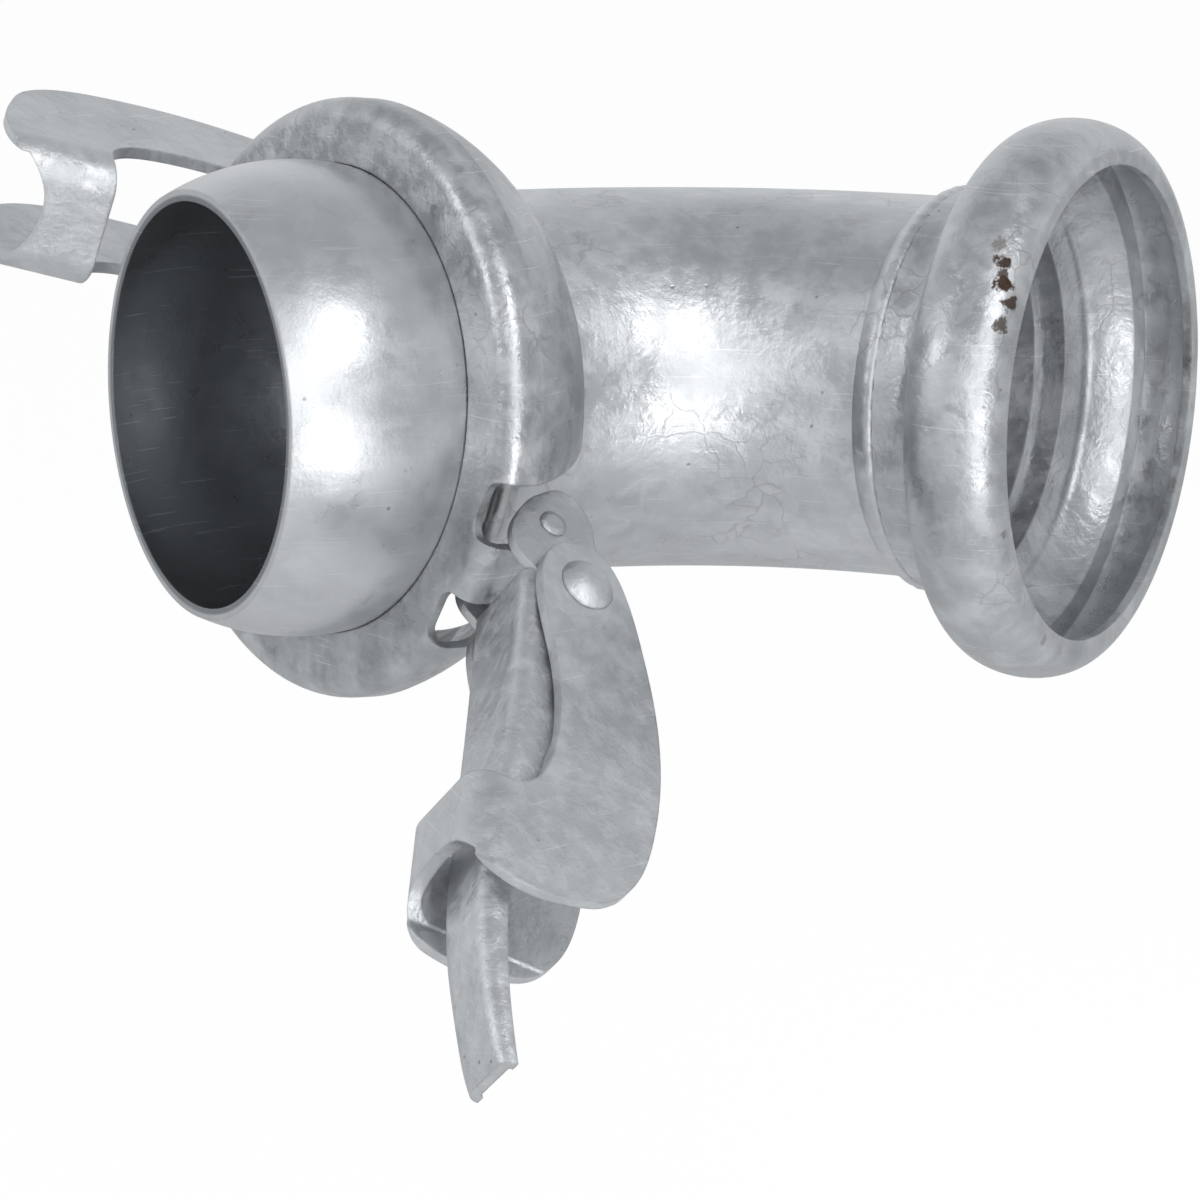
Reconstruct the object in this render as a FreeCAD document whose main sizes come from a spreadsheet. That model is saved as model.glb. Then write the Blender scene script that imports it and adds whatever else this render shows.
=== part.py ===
import FreeCAD, Part
import Sketcher
import math
import os

# Irrigation pipe bend, 60 degrees, hot-dip galvanised steel.
# One end is a ball head with a loose closing ring and two toggle closures,
# the other end is a belled socket that takes the ball of the next pipe.
# Frame: origin at the centre of the socket's lip, +X out of the socket,
# +Z up, the bend's plane is XY and the ball end goes off towards -Y.

doc = FreeCAD.newDocument("irrigation_pipe_bend")
sheet = doc.addObject("Spreadsheet::Sheet", "sizes")

# Driving dimensions in millimetres and degrees.
driving = [
    # pipe bend
    ("pipe_outer_d", 108.0),
    ("pipe_wall", 2.8),
    ("bend_radius", 134.0),
    ("bend_angle", 60.0),
    ("socket_leg", 2.635),
    ("ball_leg", 24.635),
    ("pipe_end_from_lip", 41.4),
    # ball head
    ("ball_over_pipe", 22.8),
    ("ball_wall", 2.8),
    ("pipe_past_ball_edge", 3.394),
    ("mouth_from_ball", 29.4),
    # socket bell
    ("lip_clearance", 1.2),
    ("lip_width", 2.8),
    ("bead_over_lip", 24.0),
    ("bead_half_width", 13.9),
    ("bead_from_lip", 12.45),
    ("sleeve_wall", 2.8),
    ("sleeve_length", 6.5),
    ("sleeve_start", 43.9),
    ("shoulder_over_lip", 7.3),
    ("flare_radius", 11.0),
    ("seat_ridge_over_lip", 5.4),
    ("seat_ridge_depth", 17.6),
    # closing ring
    ("ring_sheet", 2.7),
    ("ring_under_ball", 1.0),
    ("ring_crest_over_ball", 35.2),
    ("ring_corner", 6.0),
    ("ring_crease", 11.3),
    ("ring_rear_over_ball", 3.6),
    ("ring_bulge", 2.2),
    ("ring_width", 38.0),
    ("ring_gap_to_ball", 10.2),
    ("ring_yaw", 8.8),
    ("ring_pitch", 5.3),
    # slots and bars of the two closures
    ("bar_width", 18.0),
    ("slot_width", 17.8),
    ("slot_front_below_crest", 9.5),
    ("tongue_back", 31.5),
    ("tongue_hook", 6.0),
    ("tongue_foot_below_crest", 13.5),
    ("slot_corner", 5.0),
    ("rear_opening_from", 12.0),
    ("window_front", 3.5),
    ("window_below_bore", 6.9),
    ("near_angle", -27.5),
    ("far_angle", 151.0),
    # hinge pins
    ("pin_d", 5.0),
    ("pin_depth", 22.4),
    ("pin_below_crest", 9.0),
    ("near_pin_offset", 0.0),
    ("near_tilt", 19.0),
    ("far_pin_offset", -1.6),
    ("far_tilt", -7.0),
    # lever
    ("lever_width", 30.6),
    ("lever_sheet", 2.7),
    ("lever_bend", 5.0),
    ("near_swing", 60.7),
    ("far_swing", 176.0),
    ("rivet_x", 20.9),
    ("rivet_y", 9.1),
    # yoke
    ("yoke_side_clearance", 1.3),
    ("yoke_sheet", 3.5),
    ("yoke_bend", 9.5),
    ("near_yoke_swing", 60.0),
    ("far_yoke_swing", 27.5),
    # rivets
    ("rivet_d", 10.0),
    ("rivet_head_d", 15.5),
    ("rivet_head_h", 3.6),
    ("rivet_tail_d", 13.0),
    ("rivet_tail_h", 2.2),
    ("running_gap", 0.08),
]
for row, (alias, value) in enumerate(driving, start=1):
    sheet.set("A%d" % row, alias)
    sheet.set("B%d" % row, str(value))
    sheet.setAlias("B%d" % row, alias)
# The yoke's cheeks stand outside the lever's ears, with a clearance each side.
row = len(driving) + 1
sheet.set("A%d" % row, "yoke_width")
sheet.set("B%d" % row, "=lever_width + 2 * (yoke_sheet + yoke_side_clearance)")
sheet.setAlias("B%d" % row, "yoke_width")
doc.recompute()


def size(alias):
    return float(sheet.get(alias))


V = FreeCAD.Vector
Rotation = FreeCAD.Rotation
Placement = FreeCAD.Placement
AXIS_X = V(1, 0, 0)
AXIS_Y = V(0, 1, 0)
AXIS_Z = V(0, 0, 1)
nodes = []


def shift(x, y, z):
    return Placement(V(x, y, z), Rotation())


def turn(axis, angle):
    return Placement(V(0, 0, 0), Rotation(axis, angle))


def plane(body, role):
    for feature in body.Origin.OriginFeatures:
        if feature.Role == role:
            return feature
    return None


def sketch_on(body, role, name):
    sketch = body.newObject("Sketcher::SketchObject", name)
    sketch.AttachmentSupport = [(plane(body, role), "")]
    sketch.MapMode = "FlatFace"
    return sketch


def line(sketch, a, b):
    sketch.addGeometry(Part.LineSegment(V(a[0], a[1], 0), V(b[0], b[1], 0)))


def arc(sketch, a, b, c):
    sketch.addGeometry(Part.Arc(V(a[0], a[1], 0), V(b[0], b[1], 0), V(c[0], c[1], 0)))


def circle(sketch, centre, formula):
    # A circle whose radius stays tied to the sheet.
    number = sketch.addGeometry(Part.Circle(V(centre[0], centre[1], 0), AXIS_Z, 5))
    tie = sketch.addConstraint(Sketcher.Constraint("Radius", number, 5))
    sketch.setExpression("Constraints[%d]" % tie, formula)


def spline(sketch, points):
    curve = Part.BSplineCurve()
    curve.interpolate([V(x, y, 0) for x, y in points])
    sketch.addGeometry(curve)


def finish(node, label, placement):
    node.Label = label
    node.Placement = placement
    nodes.append(node)


def on_sphere(radius, height):
    return math.sqrt(radius * radius - height * height)


# Frames of the two pipe ends. The corner is where the two axes would meet.
pipe_r = size("pipe_outer_d") / 2
ball_r = pipe_r + size("ball_over_pipe") / 2
tangent = size("bend_radius") * math.tan(math.radians(size("bend_angle") / 2))
socket_leg = size("socket_leg")
ball_leg = size("ball_leg")
ball_from_pipe_end = on_sphere(ball_r, pipe_r) - size("pipe_past_ball_edge")
corner = shift(-size("pipe_end_from_lip") - socket_leg - tangent, 0, 0)
male_heading = 180.0 + size("bend_angle")
ball_from_corner = tangent + ball_leg + ball_from_pipe_end
ball_frame = corner * turn(AXIS_Z, male_heading) * shift(ball_from_corner, 0, 0)
pipe_end = shift(-size("pipe_end_from_lip"), 0, 0)
bend_centre = V(-socket_leg, -size("bend_radius"), 0)
bend_points = []
for share in (0.0, 0.5, 1.0):
    along = math.radians(size("bend_angle") * share)
    bend_points.append((
        bend_centre.x - size("bend_radius") * math.sin(along),
        bend_centre.y + size("bend_radius") * math.cos(along),
    ))
leg_angle = math.radians(180.0 + size("bend_angle"))
leg_end = (
    bend_points[2][0] + ball_leg * math.cos(leg_angle),
    bend_points[2][1] + ball_leg * math.sin(leg_angle),
)


# Bend tube: one bent pipe, drawn along its centre line from the socket end.
def bent_bar(name, radii):
    body = doc.addObject("PartDesign::Body", name)
    path = sketch_on(body, "XY_Plane", name + "_path")
    line(path, (0, 0), bend_points[0])
    arc(path, bend_points[0], bend_points[1], bend_points[2])
    line(path, bend_points[2], leg_end)
    section = sketch_on(body, "YZ_Plane", name + "_section")
    for formula in radii:
        circle(section, (0, 0), formula)
    doc.recompute()
    swept = body.newObject("PartDesign::AdditivePipe", name + "_swept")
    swept.Profile = section
    swept.Spine = (path, ["Edge1", "Edge2", "Edge3"])
    return body


outside_r = "sizes.pipe_outer_d / 2"
bend_tube = bent_bar("bend_tube", (outside_r, outside_r + " - sizes.pipe_wall"))
finish(bend_tube, "bend_tube", pipe_end)


def revolved(name, draw):
    body = doc.addObject("PartDesign::Body", name)
    profile = sketch_on(body, "XY_Plane", name + "_profile")
    draw(profile)
    solid = body.newObject("PartDesign::Revolution", name + "_turned")
    solid.Profile = profile
    solid.ReferenceAxis = (plane(body, "X_Axis"), [""])
    solid.Angle = 360
    return body


# Ball head: a pressed zone of a sphere, open at the mouth, slipped on the tube.
ball_in = ball_r - size("ball_wall")
mouth_x = size("mouth_from_ball")


def draw_ball(profile):
    rear_out = (-on_sphere(ball_r, pipe_r), pipe_r)
    rear_in = (-on_sphere(ball_in, pipe_r), pipe_r)
    mouth_out = (mouth_x, on_sphere(ball_r, mouth_x))
    mouth_in = (mouth_x, on_sphere(ball_in, mouth_x))
    arc(profile, rear_out, (0, ball_r), mouth_out)
    line(profile, mouth_out, mouth_in)
    arc(profile, mouth_in, (0, ball_in), rear_in)
    line(profile, rear_in, rear_out)


finish(revolved("ball_head", draw_ball), "ball_head", ball_frame)


# Weld behind the ball: a fillet bead in the corner between ball and tube.
def draw_ball_weld(profile):
    toe = (-on_sphere(ball_r, pipe_r) - 4.5, pipe_r)
    root = (-on_sphere(ball_r, pipe_r), pipe_r)
    top_r = pipe_r + 2.4
    top = (-on_sphere(ball_r, top_r), top_r)
    line(profile, toe, root)
    arc(profile, root, (-on_sphere(ball_r, pipe_r + 1.2), pipe_r + 1.2), top)
    arc(profile, top, (toe[0] + 1.8, pipe_r + 1.7), toe)


finish(revolved("ball_weld", draw_ball_weld), "ball_weld", ball_frame)

# Socket bell: sleeve over the tube, flare, rolled bead, lip and a seat inside.
lip_r = ball_r + size("lip_clearance") / 2
bead_r = lip_r + size("bead_over_lip") / 2
bead_x = -size("bead_from_lip")
shoulder_r = lip_r + size("shoulder_over_lip") / 2
ridge_r = lip_r + size("seat_ridge_over_lip") / 2
sleeve_r = pipe_r + size("sleeve_wall")


def half_ellipse(centre_x, base_r, half_width, rise):
    points = []
    for step in range(0, 25):
        along = math.radians(180.0 - 7.5 * step)
        points.append((
            centre_x + half_width * math.cos(along),
            base_r + rise * math.sin(along),
        ))
    return points


def draw_bell(profile):
    wall = size("lip_width")
    rise = bead_r - shoulder_r
    outside = half_ellipse(bead_x, shoulder_r, size("bead_half_width"), rise)
    inside_half = size("bead_half_width") - wall
    inside = half_ellipse(bead_x, shoulder_r, inside_half, rise - wall)
    start = -size("sleeve_start")
    flare_x = outside[0][0] - size("flare_radius")
    flare_r = size("flare_radius")
    quarter = math.radians(45)
    flare_mid = (flare_x + flare_r * math.sin(quarter), sleeve_r + flare_r * (1 - math.cos(quarter)))
    flare_top = (outside[0][0], sleeve_r + flare_r)
    line(profile, (start, pipe_r), (start, sleeve_r))
    line(profile, (start, sleeve_r), (flare_x, sleeve_r))
    arc(profile, (flare_x, sleeve_r), flare_mid, flare_top)
    line(profile, flare_top, outside[0])
    spline(profile, outside)
    lip_x = outside[-1][0]
    line(profile, outside[-1], (lip_x, lip_r))
    line(profile, (lip_x, lip_r), (lip_x - wall, lip_r))
    line(profile, (lip_x - wall, lip_r), inside[-1])
    ridge = (-size("seat_ridge_depth"), ridge_r)
    ridge_step = 0
    while inside[ridge_step][0] < ridge[0]:
        ridge_step = ridge_step + 1
    kept = inside[ridge_step:]
    kept.reverse()
    spline(profile, kept)
    line(profile, kept[-1], ridge)
    seat_end = (start + size("sleeve_length") + 4.2, pipe_r)
    bulge = ((ridge[0] + seat_end[0]) / 2 - 1.4, (ridge[1] + seat_end[1]) / 2 + 1.4)
    arc(profile, ridge, bulge, seat_end)
    line(profile, seat_end, (start, pipe_r))


finish(revolved("socket_bell", draw_bell), "socket_bell", Placement())


# Weld round the sleeve's end, laid on the tube where its bend begins. The
# bead is turned a little deep and the tube's outside is then cut from it.
def draw_socket_weld(profile):
    start = -size("sleeve_start")
    under = pipe_r - size("pipe_wall") / 2
    toe = (start - 5.0, pipe_r + 0.4)
    line(profile, toe, (toe[0], under))
    line(profile, (toe[0], under), (start, under))
    line(profile, (start, under), (start, sleeve_r))
    arc(profile, (start, sleeve_r), (start - 2.2, sleeve_r - 0.4), toe)


tube_outside = bent_bar("tube_outside", (outside_r,))
tube_outside.Placement = pipe_end
socket_weld = doc.addObject("Part::Cut", "socket_weld")
socket_weld.Base = revolved("socket_bead", draw_socket_weld)
socket_weld.Tool = tube_outside
finish(socket_weld, "socket_weld", Placement())

# Closing ring: one hollow pressed bead of sheet. It hangs loose on the back of
# the ball, so its axis is not the pipe's. Local X is the ring's own axis.
ring_frame = (
    ball_frame
    * turn(AXIS_Z, size("ring_yaw"))
    * turn(AXIS_Y, -size("ring_pitch"))
    * shift(-size("ring_gap_to_ball"), 0, 0)
)
inner_r = ball_r - size("ring_under_ball") / 2
crest_r = ball_r + size("ring_crest_over_ball") / 2
round_r = size("ring_corner")
crease = size("ring_crease")
rear_r = ball_r + size("ring_rear_over_ball") / 2
width = size("ring_width")
ring_sheet = size("ring_sheet")


def draw_ring(profile):
    # Outer line: front face, rounding, crest, crease, bulged rear shoulder.
    # Inner line: the same, one sheet further in.
    corner_x = -round_r
    corner_y = crest_r - round_r
    half = math.sqrt(0.5)
    small = round_r - ring_sheet
    chord = (-width + crease, rear_r - crest_r)
    chord_length = math.hypot(chord[0], chord[1])
    across = (chord[1] / chord_length, -chord[0] / chord_length)
    bulge = size("ring_bulge")
    middle = (
        (-crease - width) / 2 + bulge * across[0],
        (crest_r + rear_r) / 2 + bulge * across[1],
    )
    shoulder = Part.Arc(
        V(-crease, crest_r, 0), V(middle[0], middle[1], 0), V(-width, rear_r, 0)
    ).toShape().Curve
    centre = (shoulder.Center.x, shoulder.Center.y)

    def drawn_in(point):
        share = (shoulder.Radius - ring_sheet) / shoulder.Radius
        return (
            centre[0] + (point[0] - centre[0]) * share,
            centre[1] + (point[1] - centre[1]) * share,
        )

    crest_in = crest_r - ring_sheet
    reach = shoulder.Radius - ring_sheet
    crease_in = (centre[0] - math.sqrt(reach ** 2 - (crest_in - centre[1]) ** 2), crest_in)
    rear_in = drawn_in((-width, rear_r))
    line(profile, (0, inner_r), (0, corner_y))
    arc(profile, (0, corner_y), (corner_x + round_r * half, corner_y + round_r * half), (corner_x, crest_r))
    line(profile, (corner_x, crest_r), (-crease, crest_r))
    arc(profile, (-crease, crest_r), middle, (-width, rear_r))
    line(profile, (-width, rear_r), rear_in)
    arc(profile, rear_in, drawn_in(middle), crease_in)
    line(profile, crease_in, (corner_x, crest_in))
    arc(profile, (corner_x, crest_in), (corner_x + small * half, corner_y + small * half), (-ring_sheet, corner_y))
    line(profile, (-ring_sheet, corner_y), (-ring_sheet, inner_r))
    line(profile, (-ring_sheet, inner_r), (0, inner_r))


ring_turned = revolved("ring_shell", draw_ring)

# Each closure has two slots, open at the rear, with a notch into the front
# rounding. The tongue left between them runs straight back and hooks down
# behind the hinge pin.
half_bar = size("bar_width") / 2
slot_reach = half_bar + size("slot_width")
behind = width + 7
within = inner_r - 10
beyond = crest_r + 17


def cutter(name, low, high, angle):
    box = doc.addObject("Part::Box", name)
    box.Length = high[0] - low[0]
    box.Width = high[1] - low[1]
    box.Height = high[2] - low[2]
    box.Placement = turn(AXIS_X, angle) * shift(low[0], low[1], low[2])
    return box


def softened(box):
    doc.recompute()
    flat = box.Shape.copy()
    flat.Placement = Placement()
    chosen = []
    for index, edge in enumerate(flat.Edges, start=1):
        middle = edge.valueAt((edge.FirstParameter + edge.LastParameter) / 2)
        way = edge.Vertexes[1].Point - edge.Vertexes[0].Point
        if abs(way.x) > 1 and middle.y < 1:
            chosen.append((index, size("slot_corner"), size("slot_corner")))
    soft = doc.addObject("Part::Fillet", box.Name + "_round")
    soft.Base = box
    soft.Edges = chosen
    return soft


cutters = []
tongues = []
for side, angle in (("near", size("near_angle")), ("far", size("far_angle"))):
    rear_low = (-behind, within, -slot_reach)
    rear_high = (-size("rear_opening_from"), beyond, slot_reach)
    rear = cutter(side + "_rear", rear_low, rear_high, angle)
    cutters.append(rear)
    for hand in (1, -1):
        word = "up" if hand > 0 else "down"
        low_t = half_bar if hand > 0 else -slot_reach
        high_t = slot_reach if hand > 0 else -half_bar
        window_low = (-size("rear_opening_from") - 2, inner_r - size("window_below_bore"), low_t)
        window_high = (-size("window_front"), beyond, high_t)
        window = cutter("%s_window_%s" % (side, word), window_low, window_high, angle)
        notch_low = (-size("rear_opening_from") - 3, crest_r - size("slot_front_below_crest"), low_t)
        notch = cutter("%s_notch_%s" % (side, word), notch_low, (10, beyond, high_t), angle)
        cutters.append(window)
        cutters.append(softened(notch))
    top_r = crest_r - 0.3
    hook = size("tongue_hook")
    back = -size("tongue_back")
    foot = crest_r - size("tongue_foot_below_crest")
    tip = hook * (1 - math.sqrt(0.5))
    inner_hook = hook - ring_sheet
    inner_tip = ring_sheet + inner_hook * (1 - math.sqrt(0.5))
    shape_line = doc.addObject("Sketcher::SketchObject", side + "_tongue_line")
    line(shape_line, (-7.5, top_r), (back + hook, top_r))
    arc(shape_line, (back + hook, top_r), (back + tip, top_r - tip), (back, top_r - hook))
    line(shape_line, (back, top_r - hook), (back, foot))
    line(shape_line, (back, foot), (back + ring_sheet, foot))
    line(shape_line, (back + ring_sheet, foot), (back + ring_sheet, top_r - hook))
    arc(
        shape_line,
        (back + ring_sheet, top_r - hook),
        (back + inner_tip, top_r - inner_tip),
        (back + hook, top_r - ring_sheet),
    )
    line(shape_line, (back + hook, top_r - ring_sheet), (-7.5, top_r - ring_sheet))
    line(shape_line, (-7.5, top_r - ring_sheet), (-7.5, top_r))
    tongue = doc.addObject("Part::Extrusion", side + "_tongue")
    tongue.Base = shape_line
    tongue.Dir = AXIS_Z
    tongue.Solid = True
    tongue.setExpression("LengthFwd", "sizes.bar_width / 2")
    tongue.setExpression("LengthRev", "sizes.bar_width / 2")
    tongue.Placement = turn(AXIS_X, angle)
    tongues.append(tongue)
slots = doc.addObject("Part::MultiFuse", "ring_slots")
slots.Shapes = cutters
slotted = doc.addObject("Part::Cut", "ring_slotted")
slotted.Base = ring_turned
slotted.Tool = slots
closing_ring = doc.addObject("Part::MultiFuse", "closing_ring")
closing_ring.Shapes = [slotted] + tongues
finish(closing_ring, "closing_ring", ring_frame)

# Lever, in its own frame: origin on the hinge pin, X along the handle,
# Y towards the open back, Z along the pin. One folded channel of sheet.
half_lever = size("lever_width") / 2
rivet_at = (size("rivet_x"), size("rivet_y"))
# Stations along the handle: place, web's outer face, free edge of the cheeks,
# and how much narrower than the ears the channel is there.
stations = [
    (17.6, -6.7, 17.6, 0.0), (34.0, -6.7, 16.2, 0.0), (50.0, -6.8, 11.2, 0.0),
    (68.0, -7.1, 5.8, 0.0), (90.0, -8.2, 1.1, 2.6), (112.0, -9.1, -1.7, 5.8),
    (134.0, -8.0, -1.7, 7.8), (152.0, -4.6, 0.6, 9.0), (163.0, -1.8, 2.8, 9.8),
    (171.0, 1.2, 4.9, 11.0),
]
nose_line = [
    (19.4, 17.6), (12.8, 16.6), (6.4, 14.9), (0.7, 13.1), (-5.4, 11.6), (-10.0, 8.6),
    (-12.8, 4.6), (-12.8, 0.6), (-9.9, -3.4), (-5.6, -7.5), (0.6, -10.6), (6.6, -12.0),
    (12.0, -11.0), (15.6, -7.8), (19.4, -1.0),
]


def draw_channel(sketch, web_y, free_y, narrower):
    sheet_t = size("lever_sheet")
    bend = max(min(size("lever_bend"), free_y - web_y - 0.4), sheet_t + 0.3)
    cut = bend * math.sqrt(0.5)
    inner_cut = (bend - sheet_t) * math.sqrt(0.5)
    centre_y = web_y + bend
    outer_z = half_lever - narrower / 2
    inner_z = outer_z - sheet_t
    centre_z = outer_z - bend
    line(sketch, (free_y, outer_z), (centre_y, outer_z))
    arc(sketch, (centre_y, outer_z), (centre_y - cut, centre_z + cut), (web_y, centre_z))
    line(sketch, (web_y, centre_z), (web_y, -centre_z))
    arc(sketch, (web_y, -centre_z), (centre_y - cut, -centre_z - cut), (centre_y, -outer_z))
    line(sketch, (centre_y, -outer_z), (free_y, -outer_z))
    line(sketch, (free_y, -outer_z), (free_y, -inner_z))
    line(sketch, (free_y, -inner_z), (centre_y, -inner_z))
    inner_y = web_y + sheet_t
    arc(sketch, (centre_y, -inner_z), (centre_y - inner_cut, -centre_z - inner_cut), (inner_y, -centre_z))
    line(sketch, (inner_y, -centre_z), (inner_y, centre_z))
    arc(sketch, (inner_y, centre_z), (centre_y - inner_cut, centre_z + inner_cut), (centre_y, inner_z))
    line(sketch, (centre_y, inner_z), (free_y, inner_z))
    line(sketch, (free_y, inner_z), (free_y, outer_z))


def make_lever(name):
    body = doc.addObject("PartDesign::Body", name)
    sections = []
    for number, (along, web_y, free_y, narrower) in enumerate(stations):
        section = sketch_on(body, "YZ_Plane", "%s_section_%d" % (name, number))
        section.AttachmentOffset = shift(0, 0, along)
        draw_channel(section, web_y, free_y, narrower)
        sections.append(section)
    doc.recompute()
    channel = body.newObject("PartDesign::AdditiveLoft", name + "_channel")
    channel.Profile = sections[0]
    channel.Sections = sections[1:]
    doc.recompute()
    for hand in (1, -1):
        word = "up" if hand > 0 else "down"
        outline = sketch_on(body, "XY_Plane", "%s_ear_line_%s" % (name, word))
        inner_z = half_lever - size("lever_sheet")
        outline.AttachmentOffset = shift(0, 0, inner_z if hand > 0 else -half_lever)
        spline(outline, nose_line)
        line(outline, nose_line[-1], nose_line[0])
        ear = body.newObject("PartDesign::Pad", "%s_ear_%s" % (name, word))
        ear.Profile = outline
        ear.setExpression("Length", "sizes.lever_sheet")
        doc.recompute()
    holes = sketch_on(body, "XY_Plane", name + "_holes")
    circle(holes, (0, 0), "sizes.pin_d / 2")
    circle(holes, rivet_at, "sizes.rivet_d / 2")
    doc.recompute()
    drilled = body.newObject("PartDesign::Pocket", name + "_drilled")
    drilled.Profile = holes
    drilled.Midplane = True
    drilled.setExpression("Length", "sizes.lever_width * 2")
    doc.recompute()
    return body


# Yoke, in its own frame: origin on the rivets' axis, X towards the strap,
# the strap on the -Y side. Two cheeks joined by one strap, a single bent plate.
half_yoke = size("yoke_width") / 2
strap_y = -25.9
strap_top = 72.0
strap_foot = 90.0
cheek_inner = [
    (-12.6, -4.0), (-9.4, -10.4), (-0.8, -13.6), (9.6, -12.6), (20.8, -9.4), (31.7, -6.4),
    (41.0, -5.0), (52.0, -4.6), (62.0, -5.8), (70.0, -9.0), (74.2, -14.0), (74.4, -19.0),
]
cheek_outer = [
    (96.0, strap_y), (101.6, -21.5), (104.6, -13.6), (105.2, -4.0), (103.8, 3.4), (101.0, 12.0),
    (90.6, 21.0), (76.4, 24.8), (53.5, 25.8), (32.0, 22.7), (14.2, 17.7), (-2.0, 11.6), (-10.6, 5.6),
    (-13.2, 1.0), (-12.6, -4.0),
]


def make_yoke(name):
    body = doc.addObject("PartDesign::Body", name)
    outline = sketch_on(body, "XY_Plane", name + "_outline")
    spline(outline, cheek_inner)
    line(outline, cheek_inner[-1], (strap_top, strap_y))
    line(outline, (strap_top, strap_y), cheek_outer[0])
    spline(outline, cheek_outer)
    block = body.newObject("PartDesign::Pad", name + "_block")
    block.Profile = outline
    block.Midplane = True
    block.setExpression("Length", "sizes.yoke_width")
    doc.recompute()
    section = sketch_on(body, "YZ_Plane", name + "_section")
    bend = size("yoke_bend")
    turned = bend * math.sqrt(0.5)
    for hand in (1, -1):
        flat = (strap_y, hand * (half_yoke - bend))
        middle = (strap_y + bend - turned, hand * (half_yoke - bend + turned))
        upright = (strap_y + bend, hand * half_yoke)
        arc(section, flat, middle, upright)
        line(section, upright, (strap_y + bend, hand * (half_yoke + 2)))
        line(section, (strap_y + bend, hand * (half_yoke + 2)), (strap_y - 2, hand * (half_yoke + 2)))
        line(section, (strap_y - 2, hand * (half_yoke + 2)), (strap_y - 2, hand * (half_yoke - bend)))
        line(section, (strap_y - 2, hand * (half_yoke - bend)), flat)
    soft = body.newObject("PartDesign::Pocket", name + "_bends")
    soft.Profile = section
    soft.Midplane = True
    soft.setExpression("Length", "sizes.yoke_width * 10")
    doc.recompute()
    inside = sketch_on(body, "YZ_Plane", name + "_inside")
    floor = strap_y + size("yoke_sheet")
    inner_half = half_yoke - size("yoke_sheet")
    inner_bend = bend - size("yoke_sheet")
    above = half_yoke * 3
    turned = inner_bend * math.sqrt(0.5)
    for hand in (1, -1):
        flat = (floor, hand * (inner_half - inner_bend))
        middle = (floor + inner_bend - turned, hand * (inner_half - inner_bend + turned))
        upright = (floor + inner_bend, hand * inner_half)
        arc(inside, flat, middle, upright)
        line(inside, upright, (above, hand * inner_half))
    line(inside, (above, inner_half), (above, -inner_half))
    line(inside, (floor, inner_half - inner_bend), (floor, inner_bend - inner_half))
    hollow = body.newObject("PartDesign::Pocket", name + "_hollow")
    hollow.Profile = inside
    hollow.Midplane = True
    hollow.setExpression("Length", "sizes.yoke_width * 10")
    doc.recompute()
    plan = sketch_on(body, "XZ_Plane", name + "_plan")
    reach = half_yoke - 3.0
    beyond_foot = strap_foot + 25
    corner_x = strap_foot + 8.1
    arc(plan, (corner_x, -reach), (strap_foot, 0.0), (corner_x, reach))
    line(plan, (corner_x, reach), (beyond_foot, reach))
    line(plan, (beyond_foot, reach), (beyond_foot, -reach))
    line(plan, (beyond_foot, -reach), (corner_x, -reach))
    waist = body.newObject("PartDesign::Pocket", name + "_waist")
    waist.Profile = plan
    waist.Midplane = True
    waist.setExpression("Length", "sizes.yoke_width * 2")
    doc.recompute()
    holes = sketch_on(body, "XY_Plane", name + "_holes")
    circle(holes, (0, 0), "sizes.rivet_d / 2 + sizes.running_gap")
    doc.recompute()
    drilled = body.newObject("PartDesign::Pocket", name + "_drilled")
    drilled.Profile = holes
    drilled.Midplane = True
    drilled.setExpression("Length", "sizes.yoke_width * 2")
    doc.recompute()
    return body


# Hinge pin: a plain pin through both ears of a lever, peened over at its ends.
def make_pin(name):
    body = doc.addObject("PartDesign::Body", name)
    profile = sketch_on(body, "XZ_Plane", name + "_profile")
    shank = size("pin_d") / 2
    reach = half_lever + 0.1
    peen = shank + 1.4
    end = reach + 0.8
    line(profile, (0, -end), (0, end))
    line(profile, (0, end), (shank, end))
    line(profile, (shank, end), (peen, reach + 0.3))
    line(profile, (peen, reach + 0.3), (peen, reach))
    line(profile, (peen, reach), (shank, reach))
    line(profile, (shank, reach), (shank, -reach))
    line(profile, (shank, -reach), (peen, -reach))
    line(profile, (peen, -reach), (peen, -reach - 0.3))
    line(profile, (peen, -reach - 0.3), (shank, -end))
    line(profile, (shank, -end), (0, -end))
    solid = body.newObject("PartDesign::Revolution", name + "_turned")
    solid.Profile = profile
    solid.ReferenceAxis = (profile, ["V_Axis"])
    solid.Angle = 360
    return body


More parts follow.
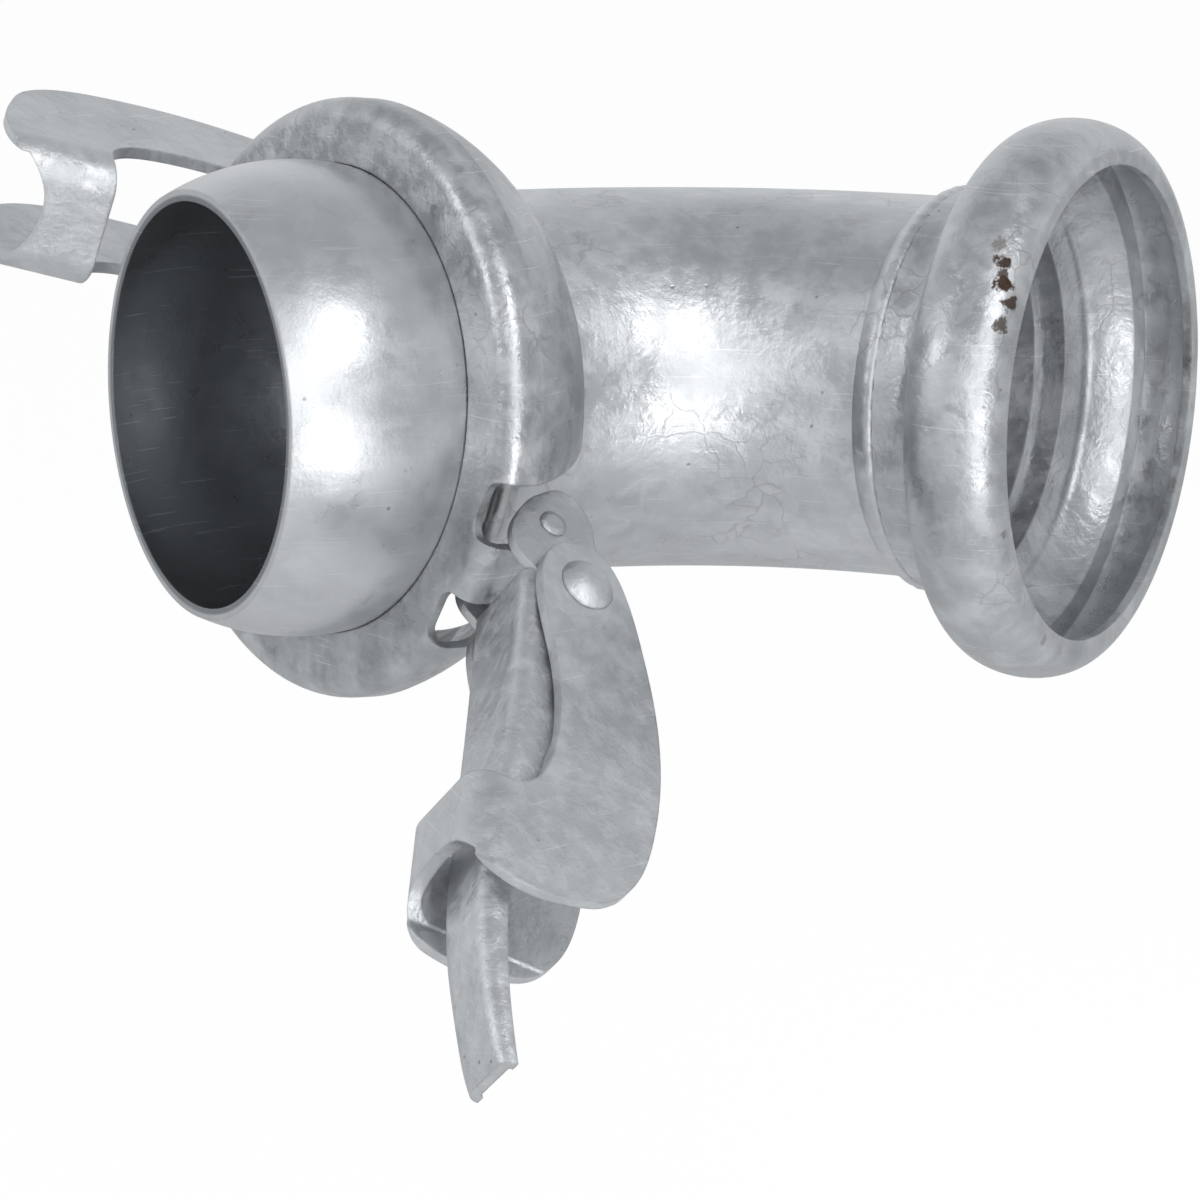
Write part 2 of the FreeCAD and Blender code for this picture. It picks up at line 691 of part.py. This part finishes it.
# Yoke rivets: one through each ear and cheek, domed head outside, tail inside.
def make_rivets(name):
    body = doc.addObject("PartDesign::Body", name)
    profile = sketch_on(body, "XZ_Plane", name + "_profile")
    shank = size("rivet_d") / 2
    head = size("rivet_head_d") / 2
    tail = size("rivet_tail_d") / 2
    inner = half_lever - size("lever_sheet") - 0.05
    outer = half_yoke + 0.15
    tail_end = inner - size("rivet_tail_h")
    top = outer + size("rivet_head_h")
    line(profile, (0, tail_end), (tail - 0.8, tail_end))
    line(profile, (tail - 0.8, tail_end), (tail, tail_end + 0.8))
    line(profile, (tail, tail_end + 0.8), (tail, inner))
    line(profile, (tail, inner), (shank, inner))
    line(profile, (shank, inner), (shank, outer))
    line(profile, (shank, outer), (head, outer))
    arc(profile, (head, outer), (head * 0.72, outer + size("rivet_head_h") * 0.62), (head * 0.12, top))
    line(profile, (head * 0.12, top), (0, top))
    line(profile, (0, top), (0, tail_end))
    solid = body.newObject("PartDesign::Revolution", name + "_turned")
    solid.Profile = profile
    solid.ReferenceAxis = (profile, ["V_Axis"])
    solid.Angle = 360
    body.Tip = solid
    doc.recompute()
    mirrored = body.newObject("PartDesign::Mirrored", name + "_pair")
    mirrored.Originals = [solid]
    mirrored.MirrorPlane = (plane(body, "XY_Plane"), [""])
    body.Tip = mirrored
    return body


closures = (
    ("near", "near_angle", size("near_pin_offset"), size("near_tilt"), "near_swing", "near_yoke_swing"),
    ("far", "far_angle", size("far_pin_offset"), size("far_tilt"), "far_swing", "far_yoke_swing"),
)
for side, angle, offset, tilt, swing, yoke_swing in closures:
    hinge = (
        ring_frame
        * turn(AXIS_X, size(angle))
        * shift(-size("pin_depth"), crest_r - size("pin_below_crest"), offset)
        * turn(AXIS_X, -tilt)
    )
    lever_frame = hinge * turn(AXIS_Z, size(swing))
    rivet_frame = lever_frame * shift(rivet_at[0], rivet_at[1], 0)
    yoke_frame = rivet_frame * turn(AXIS_Z, size(yoke_swing) - size(swing))
    finish(make_lever(side + "_lever"), side + "_lever", lever_frame)
    finish(make_pin(side + "_hinge_pin"), side + "_hinge_pin", lever_frame)
    finish(make_yoke(side + "_yoke"), side + "_yoke", yoke_frame)
    finish(make_rivets(side + "_yoke_rivets"), side + "_yoke_rivets", rivet_frame)

doc.recompute()

for item in doc.Objects:
    if "Invalid" in item.State or "Error" in item.State:
        raise RuntimeError("%s did not rebuild: %s" % (item.Label, item.State))

os.makedirs("parts", exist_ok=True)
for node in nodes:
    if node.Shape.isNull() or not node.Shape.isValid():
        raise RuntimeError("%s has no valid shape" % node.Label)
    node.Shape.exportStep("parts/%s.step" % node.Label)
    print("%-18s solids %d  volume %.0f mm3" % (node.Label, len(node.Shape.Solids), node.Shape.Volume))
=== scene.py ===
# %% [markdown]
# # A quick-coupling pipe bend, dressed over its solids
# The real object is a 60 degree bend of hot-dip galvanised steel pipe for irrigation lines.
# One end is a ball that seats in the next pipe's socket, the other end is such a socket.
# A loose ring with two toggle closures hangs behind the ball. The solids already have the
# right shapes, so this lesson keeps them, and works on what makes them look like zinc.

# %% Load the frame
import math

import bmesh
import bpy
from mathutils import Matrix, Vector


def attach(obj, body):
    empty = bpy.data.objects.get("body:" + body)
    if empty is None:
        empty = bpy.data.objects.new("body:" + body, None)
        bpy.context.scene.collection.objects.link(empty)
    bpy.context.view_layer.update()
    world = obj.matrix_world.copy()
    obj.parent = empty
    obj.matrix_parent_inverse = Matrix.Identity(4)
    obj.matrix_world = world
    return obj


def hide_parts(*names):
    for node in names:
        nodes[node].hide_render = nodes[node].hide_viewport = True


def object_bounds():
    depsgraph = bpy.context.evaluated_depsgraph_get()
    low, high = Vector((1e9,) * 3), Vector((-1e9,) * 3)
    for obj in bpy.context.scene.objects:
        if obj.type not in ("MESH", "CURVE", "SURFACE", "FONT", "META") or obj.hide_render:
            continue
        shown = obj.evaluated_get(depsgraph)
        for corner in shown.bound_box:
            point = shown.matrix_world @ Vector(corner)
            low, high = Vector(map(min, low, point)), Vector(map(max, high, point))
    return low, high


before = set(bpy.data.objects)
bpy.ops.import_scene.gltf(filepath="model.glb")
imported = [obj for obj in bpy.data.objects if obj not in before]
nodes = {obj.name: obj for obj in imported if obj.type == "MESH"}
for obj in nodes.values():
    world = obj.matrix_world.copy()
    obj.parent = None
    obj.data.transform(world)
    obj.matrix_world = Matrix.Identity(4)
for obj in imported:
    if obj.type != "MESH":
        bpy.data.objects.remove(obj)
low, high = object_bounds()
print("solids:", len(nodes), "box", [round(b - a, 4) for a, b in zip(low, high)])

# %% [markdown]
# ## The camera
# The photograph was taken from a little above the pipe and to the right of the ball's mouth,
# with a long lens, so the outlines hardly converge. The three angles and the place were fitted
# to the pipe's edges, the bell's rim and the ball, because round things are easy to measure.

# %% Camera
SENSOR_WIDTH = 36.0
LENS = 122.06
CAMERA_PLACE = (0.4247, -1.0388, 0.1778)
ROLL, PITCH, HEADING = math.radians(0.77), math.radians(11.93), math.radians(0.73 - 30.0)

aim = Matrix.Rotation(ROLL, 3, "Y") @ Matrix.Rotation(PITCH, 3, "X")
aim = aim @ Matrix.Rotation(HEADING, 3, "Z")
right, forward, up = (Vector(row) for row in aim)
camera_data = bpy.data.cameras.new("camera")
camera_data.sensor_width = SENSOR_WIDTH
camera_data.lens = LENS
camera_data.clip_end = 60.0
camera = bpy.data.objects.new("camera", camera_data)
bpy.context.collection.objects.link(camera)
turned = Matrix((right, up, -forward)).transposed().to_4x4()
camera.matrix_world = Matrix.Translation(CAMERA_PLACE) @ turned
bpy.context.scene.camera = camera
print("camera", [round(v, 3) for v in camera.location])

# %% [markdown]
# ## The studio
# The photograph has a plain white ground and soft light. Here the floor is a wide pale disc
# below the part. Metal shows what stands round it, so the room matters more than the lamps:
# a pale wall behind, a greyer room in front and overhead, a tall soft box to the right of the
# camera, a lower one that makes the second highlight, a wide one in front and one at the left.

# %% Floor
FLOOR_RADIUS = 14.0
FLOOR_DROP = 0.20

floor_mesh = bpy.data.meshes.new("floor")
floor_work = bmesh.new()
bmesh.ops.create_circle(floor_work, cap_ends=True, segments=96, radius=FLOOR_RADIUS)
floor_work.to_mesh(floor_mesh)
floor_work.free()
floor_level = low[2] - FLOOR_DROP
floor_mesh.transform(Matrix.Translation((0, 0, floor_level)))
floor = bpy.data.objects.new("floor", floor_mesh)
bpy.context.collection.objects.link(floor)
print("floor at", round(floor_level, 3))


# %% Small helpers for node trees
def node(tree, kind, settings=None, inputs=None):
    made = tree.nodes.new("ShaderNode" + kind)
    for name, value in (settings or {}).items():
        setattr(made, name, value)
    for key, value in (inputs or {}).items():
        socket = made.inputs[key]
        if isinstance(value, bpy.types.NodeSocket):
            tree.links.new(value, socket)
        else:
            socket.default_value = value
    return made


def sums(tree, operation, first, second):
    return node(tree, "Math", {"operation": operation}, {0: first, 1: second}).outputs[0]


def plus(tree, value, times, added):
    inputs = {0: value, 1: times, 2: added}
    return node(tree, "Math", {"operation": "MULTIPLY_ADD"}, inputs).outputs[0]


def ranged(tree, value, low_in, high_in, low_out=0.0, high_out=1.0):
    settings = {"interpolation_type": "SMOOTHSTEP"}
    inputs = {0: value, 1: low_in, 2: high_in, 3: low_out, 4: high_out}
    return node(tree, "MapRange", settings, inputs).outputs[0]


def tinted(tree, share, first, second):
    mixed = node(tree, "Mix", {"data_type": "RGBA"}, {0: share, 6: first, 7: second})
    return mixed.outputs[2]


def noise(tree, place, scale, detail, roughness=0.5):
    return node(tree, "TexNoise", None, {0: place, 2: scale, 3: detail, 4: roughness}).outputs[0]


def distance(tree, place, point):
    apart = node(tree, "VectorMath", {"operation": "DISTANCE"}, {0: place, 1: point})
    return apart.outputs["Value"]


# %% Floor's paint and the room
FLOOR_GREY = (0.86, 0.86, 0.86, 1)
GROUND_GLOW = 0.86
WHITE = (1, 1, 1, 1)
PAST_WHITE = (1.03, 1.03, 1.03, 1)
ROOM_IN_FRONT = (0.57, 0.58, 0.595, 1)
WALL_BEHIND = (0.86, 0.87, 0.88, 1)
CEILING = (0.47, 0.48, 0.495, 1)
CAMERA_HEADING = (-0.5, 0.866, 0.0)

floor_paint = bpy.data.materials.new("floor_white")
floor_paint.use_nodes = True
tree = floor_paint.node_tree
tree.nodes.clear()
matt = node(tree, "BsdfDiffuse", None, {0: FLOOR_GREY})
glow = node(tree, "Emission", None, {0: WHITE, 1: 1.06})
path = node(tree, "LightPath")
lit = sums(tree, "MULTIPLY", path.outputs["Is Camera Ray"], GROUND_GLOW)
mixed = node(tree, "MixShader", None, {0: lit, 1: matt.outputs[0], 2: glow.outputs[0]})
node(tree, "OutputMaterial", None, {0: mixed.outputs[0]})
floor_mesh.materials.append(floor_paint)

world = bpy.data.worlds.new("studio")
bpy.context.scene.world = world
world.use_nodes = True
tree = world.node_tree
tree.nodes.clear()
ray = node(tree, "TexCoord").outputs["Generated"]
split = node(tree, "SeparateXYZ", None, {0: ray})
away = node(tree, "VectorMath", {"operation": "DOT_PRODUCT"}, {0: ray, 1: CAMERA_HEADING})
behind = ranged(tree, away.outputs["Value"], -0.2, 0.7)
room = tinted(tree, behind, ROOM_IN_FRONT, WALL_BEHIND)
overhead = ranged(tree, split.outputs[2], 0.50, 0.95)
room = tinted(tree, overhead, room, CEILING)
path = node(tree, "LightPath")
seen = tinted(tree, path.outputs["Is Camera Ray"], room, PAST_WHITE)
sky = node(tree, "Background", None, {0: seen, 1: 1.0})
node(tree, "OutputWorld", None, {0: sky.outputs[0]})

# %% Lamps
middle = (Vector(low) + Vector(high)) / 2


def soft_box(name, azimuth, elevation, distance, width, height, watts):
    turn, lift = math.radians(azimuth), math.radians(elevation)
    away = Vector((
        math.sin(turn) * math.cos(lift),
        -math.cos(turn) * math.cos(lift),
        math.sin(lift),
    ))
    data = bpy.data.lights.new(name, "AREA")
    data.shape = "RECTANGLE"
    data.size = width
    data.size_y = height
    data.energy = watts
    lamp = bpy.data.objects.new(name, data)
    bpy.context.collection.objects.link(lamp)
    lamp.location = middle + away * distance
    lamp.rotation_euler = away.to_track_quat("Z", "Y").to_euler()
    lamp.visible_camera = False
    print("lamp", name, [round(v, 2) for v in lamp.location])


# Name, azimuth and elevation in degrees, distance, width and height in metres, watts.
soft_box("high_box", 56, 39, 1.5, 0.55, 0.72, 4.0)
soft_box("low_box", 49, -10, 0.9, 0.34, 0.34, 1.4)
soft_box("front_box", 30, 16, 1.7, 1.3, 0.9, 4.6)
soft_box("side_box", -42, 22, 1.5, 0.4, 0.8, 2.6)

# %% [markdown]
# ## Hot-dip zinc
# A galvanised part is dipped in molten zinc. The coat freezes into faint crystals, runs into
# thicker patches, and keeps hairline creases, small pits and specks of ash. It is a metal, but a
# dull one. So one metallic shader gets its colour, its roughness and its relief from the same few
# patterns. They are read in Object coordinates, because then they have real size in metres.


# %% Patterns in the coat
SCRATCH_LEANS = (0.5, -1.1, 2.3)
SCRATCH_SCALE = (34, 34, 1700)


def zinc_tone(value):
    return (value, value + 0.015, value + 0.03, 1)


def crease_pattern(tree, place, bent, strength):
    # The borders of large cells, let through only in some places.
    cells = node(tree, "TexVoronoi", {"feature": "DISTANCE_TO_EDGE"}, {0: bent, 2: 95.0})
    hair = ranged(tree, cells.outputs[0], 0.012, 0.045, 1.0, 0.0)
    where = ranged(tree, noise(tree, place, 34.0, 2.0), 0.52, 0.64, 0.0, strength)
    return sums(tree, "MULTIPLY", hair, where)


def ash_pattern(tree, place):
    # The middles of small cells, let through only where the coat is dirty.
    cells = node(tree, "TexVoronoi", None, {0: place, 2: 210.0})
    specks = ranged(tree, cells.outputs[0], 0.05, 0.16, 1.0, 0.0)
    dirty = ranged(tree, noise(tree, place, 48.0, 3.0), 0.56, 0.68)
    return sums(tree, "MULTIPLY", specks, dirty)


def scratch_pattern(tree, place):
    # Noise drawn out fifty times as long as wide, in three directions.
    scratches = 0.0
    for lean in SCRATCH_LEANS:
        inputs = {0: place, 2: (lean, 0.6 * lean, 1.7 * lean), 3: SCRATCH_SCALE}
        stretched = node(tree, "Mapping", None, inputs).outputs[0]
        streak = ranged(tree, noise(tree, stretched, 1.0, 2.0), 0.70, 0.735)
        scratches = sums(tree, "MAXIMUM", streak, scratches)
    return scratches


def worn_pattern(tree, place, spots):
    # Ragged round patches: the distance to each centre, disturbed by noise.
    worn = None
    for centre, radius, strength in spots:
        ragged = noise(tree, place, 330.0, 4.0, 0.65)
        reach = plus(tree, ragged, radius * 2.6, distance(tree, place, centre))
        patch = ranged(tree, reach, radius * 1.75, radius * 2.15, strength, 0.0)
        worn = patch if worn is None else sums(tree, "MAXIMUM", worn, patch)
    return worn


# %% The zinc coat
EDGE_RADIUS = 0.0009
PATCH_RELIEF = 0.0011
GRAIN_RELIEF = 0.00016
CREASE_GREY = (0.30, 0.30, 0.30, 1)
ASH_BROWN = (0.16, 0.15, 0.14, 1)
SCRATCH_WHITE = (0.86, 0.87, 0.88, 1)
WORN_DARK = (0.020, 0.014, 0.012, 1)
WORN_LIGHT = (0.135, 0.088, 0.062, 1)


def zinc_coat(
    name, dark, light, patch=24.0, rough=(0.26, 0.46), runs=(1.0, 1.0, 1.0),
    creases=0.6, spots=(), relief=0.35, painted_hollow_shade=None, scuffed=0.35,
):
    material = bpy.data.materials.new(name)
    material.use_nodes = True
    tree = material.node_tree
    tree.nodes.clear()
    place = node(tree, "TexCoord").outputs["Object"]

    # Patterns: clouds drawn out by the runs, blotches, crystals with bent borders, grain.
    drawn = node(tree, "Mapping", None, {0: place, 3: runs}).outputs[0]
    clouds = ranged(tree, noise(tree, drawn, patch, 6.0, 0.62), 0.34, 0.68)
    blotch = ranged(tree, noise(tree, place, patch * 4.2, 5.0, 0.6), 0.38, 0.66)
    grain = noise(tree, place, 1100.0, 4.0, 0.7)
    warp = node(tree, "TexNoise", None, {0: place, 2: 60.0, 3: 3.0}).outputs["Color"]
    pulled = {0: warp, 1: (0.018, 0.018, 0.018), 2: place}
    bent = node(tree, "VectorMath", {"operation": "MULTIPLY_ADD"}, pulled).outputs[0]
    crystal = node(tree, "TexVoronoi", None, {0: bent, 2: 190.0}).outputs["Color"]
    facet = node(tree, "SeparateColor", None, {0: crystal}).outputs[0]
    hair = crease_pattern(tree, place, bent, creases)
    ash = ash_pattern(tree, place)
    scratches = scratch_pattern(tree, place)
    worn = worn_pattern(tree, place, spots)

    # Colour: from dark to light zinc, then each mark over it.
    share = plus(tree, facet, 0.20, plus(tree, blotch, 0.30, sums(tree, "MULTIPLY", clouds, 0.50)))
    colour = tinted(tree, share, zinc_tone(dark), zinc_tone(light))
    # Painted shade: surfaces nearer the given centre than the given reach, the ball's hollow, get a
    # darker zinc tone.
    if painted_hollow_shade is not None:
        centre, reach, shade = painted_hollow_shade
        apart = distance(tree, place, centre)
        hollow_shade_share = ranged(tree, apart, reach - 0.0004, reach + 0.0004, 1.0, 0.0)
        colour = tinted(tree, hollow_shade_share, colour, zinc_tone(shade))
    colour = tinted(tree, sums(tree, "MULTIPLY", hair, 0.55), colour, CREASE_GREY)
    colour = tinted(tree, sums(tree, "MULTIPLY", ash, 0.6), colour, ASH_BROWN)
    colour = tinted(tree, sums(tree, "MULTIPLY", scratches, scuffed), colour, SCRATCH_WHITE)
    if worn is not None:
        colour = tinted(tree, worn, colour, tinted(tree, grain, WORN_DARK, WORN_LIGHT))

    # Roughness: the blotches and crystals are unevenly dull, and bare steel is duller.
    roughness = plus(tree, facet, 0.07, plus(tree, blotch, rough[1] - rough[0], rough[0]))
    if worn is not None:
        roughness = plus(tree, worn, 0.35, roughness)

    # Relief: eased edges, then the thick and thin of the coat, then the grain.
    heavy = plus(tree, blotch, 0.6, sums(tree, "MULTIPLY", clouds, 0.8))
    heavy = plus(tree, hair, 0.25, heavy)
    heavy = sums(tree, "SUBTRACT", heavy, sums(tree, "MULTIPLY", ash, 0.5))
    edges = node(tree, "Bevel", {"samples": 2}, {"Radius": EDGE_RADIUS})
    coarse = node(tree, "Bump", None, {
        "Strength": relief, "Distance": PATCH_RELIEF, "Height": heavy, "Normal": edges.outputs[0],
    })
    fine = node(tree, "Bump", None, {
        "Strength": 0.30, "Distance": GRAIN_RELIEF, "Height": grain, "Normal": coarse.outputs[0],
    })
    shader = node(tree, "BsdfPrincipled", None, {
        "Base Color": colour,
        "Metallic": 0.86,
        "Roughness": roughness,
        "Normal": fine.outputs[0],
    })
    node(tree, "OutputMaterial", None, {0: shader.outputs[0]})
    return material


def dress(material, *names):
    for name in names:
        slots = nodes[name].material_slots
        for slot in slots:
            slot.material = material
        if not slots:
            nodes[name].data.materials.append(material)
    print("dressed", names, "in", material.name)


# %% [markdown]
# ## Pipe, ball and socket
# The pipe runs its coat lengthways, so its clouds are drawn out along the bore. The ball is pressed
# smooth and seals against rubber, so it has few creases and a finer polish. The ball's hollow is
# painted a darker grey, as painted shade there. The bell's lip is where the closures of the next
# pipe hook on, and there the coat has
# been knocked off down to brown steel. A few ragged patches at the places seen in the photograph
# do that better than rust all over, which such a part doesn't have.

# %% Pipe, ball and socket
BALL_CENTRE = (-0.18915, -0.11735, 0.0)
BALL_WALL_MIDDLE = 0.0640
# Worn patches on the bell's lip: place, radius, strength.
LIP_MARKS = (
    ((-0.0032, -0.0607, 0.0455), 0.0032, 0.95),
    ((-0.0027, -0.0623, 0.0426), 0.0026, 0.85),
    ((-0.0022, -0.0639, 0.0398), 0.0034, 1.0),
    ((0.0002, -0.0643, 0.0348), 0.0031, 0.95),
    ((-0.0004, -0.0675, 0.0298), 0.0027, 0.8),
    ((-0.0057, -0.0586, 0.0498), 0.0030, 0.5),
    ((0.0014, -0.0651, -0.0262), 0.0022, 0.45),
    ((0.0014, -0.0356, -0.0602), 0.0020, 0.35),
)

pipe_zinc = zinc_coat("pipe_zinc_coat", 0.46, 0.70, patch=22.0, runs=(0.6, 1.0, 1.4), relief=0.22)
# The ball's hollow gets painted shade: a darker grey within BALL_WALL_MIDDLE of the ball's centre.
ball_zinc = zinc_coat(
    "ball_zinc_coat", 0.52, 0.67, patch=16.0, rough=(0.26, 0.36), creases=0.1, relief=0.10,
    painted_hollow_shade=(BALL_CENTRE, BALL_WALL_MIDDLE, 0.25),
)
bell_zinc = zinc_coat("bell_zinc_coat", 0.40, 0.67, patch=26.0, relief=0.25, spots=LIP_MARKS)
dress(pipe_zinc, "bend_tube", "socket_weld", "ball_weld")
dress(ball_zinc, "ball_head")
dress(bell_zinc, "socket_bell")

# %% [markdown]
# ## The weld beads
# The bell's sleeve and the ball are welded to the pipe by hand, so each seam is a row of small
# ripples, half drowned in zinc. A modelled bead catches the light along its crest, which a bump
# on the plain solid would not do at the outline. The bead's outline is spun round the pipe's
# axis, then its outer side is pushed out in waves that lean with the welder's hand.


# %% Weld beads
RIPPLES = 58
RIPPLE_HEIGHT = 0.00010
STEPS_PER_RIPPLE = 6
SLANT = 90
MERGE_WITHIN = 0.00001
# Outlines in millimetres: along the pipe's axis, and out from it.
SLEEVE_OUTLINE = (
    (-50.2, 53.5), (-49.4, 54.4), (-48.2, 55.5), (-46.6, 56.5), (-45.0, 57.2),
    (-43.4, 57.3), (-42.2, 56.7), (-42.6, 55.2), (-45.0, 53.2), (-48.6, 52.6),
)
BALL_OUTLINE = (
    (-41.6, 53.5), (-40.6, 54.6), (-39.2, 55.5), (-37.6, 56.2), (-36.0, 56.6),
    (-34.6, 56.4), (-34.2, 55.2), (-36.2, 53.2), (-39.4, 52.8),
)


def weld_bead(name, outline, place, replaced):
    work = bmesh.new()
    corners = [work.verts.new((along / 1000, 0, out / 1000)) for along, out in outline]
    sides = [work.edges.new((corners[i - 1], corners[i])) for i in range(len(corners))]
    bmesh.ops.spin(
        work, geom=corners + sides, cent=(0, 0, 0), axis=(1, 0, 0), dvec=(0, 0, 0),
        angle=2 * math.pi, steps=RIPPLES * STEPS_PER_RIPPLE, use_merge=True, use_duplicate=False,
    )
    bmesh.ops.remove_doubles(work, verts=work.verts, dist=MERGE_WITHIN)
    root = min(out for along, out in outline) / 1000
    tallest = max(out for along, out in outline) / 1000
    for vert in work.verts:
        radius = math.hypot(vert.co.y, vert.co.z)
        around = math.atan2(vert.co.y, vert.co.z)
        share = (radius - root) / (tallest - root)
        lean = around * RIPPLES + SLANT * vert.co.x + 0.9 * math.sin(around * 5 + 0.4)
        wave = math.sin(lean) + 0.8 * math.sin(around * 7 + 1.3) + 0.5 * math.sin(around * 17)
        grown = radius + RIPPLE_HEIGHT * share * wave
        vert.co.y *= grown / radius
        vert.co.z *= grown / radius
    bmesh.ops.recalc_face_normals(work, faces=work.faces)
    for face in work.faces:
        face.smooth = True
    mesh = bpy.data.meshes.new(name)
    work.to_mesh(mesh)
    work.free()
    mesh.transform(place)
    bead = bpy.data.objects.new(name, mesh)
    bpy.context.collection.objects.link(bead)
    mesh.materials.append(pipe_zinc)
    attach(bead, "bend")
    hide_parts(replaced)
    print(name, len(mesh.polygons), "faces")


weld_bead("bell_weld_bead", SLEEVE_OUTLINE, Matrix(), "socket_weld")
ball_turn = Matrix.Translation(BALL_CENTRE) @ Matrix.Rotation(math.radians(240), 4, "Z")
weld_bead("ball_weld_bead", BALL_OUTLINE, ball_turn, "ball_weld")

# %% [markdown]
# ## Ring and closures
# The ring is one pressed bead of sheet, and it rattles on the ball, so its coat is a little darker
# and more worn. The levers, yokes, pins and rivets are dipped together, as assembled closures. They
# come out duller and more even than the pipe, so they share one coat with finer patches.

# %% Ring and closures
ring_zinc = zinc_coat("ring_zinc_coat", 0.33, 0.64, patch=34.0, relief=0.22)
closure_zinc = zinc_coat(
    "closure_zinc_coat", 0.50, 0.68, patch=40.0, rough=(0.34, 0.50), creases=0.1, relief=0.25,
)
dress(ring_zinc, "closing_ring")
dress(
    closure_zinc,
    "near_lever", "near_hinge_pin", "near_yoke", "near_yoke_rivets",
    "far_lever", "far_hinge_pin", "far_yoke", "far_yoke_rivets",
)

# %% [markdown]
# ## Look
# The Standard view shows the paint's own tones, which were compared with the photograph.

# %% Look
scene = bpy.context.scene
scene.view_settings.view_transform = "Standard"
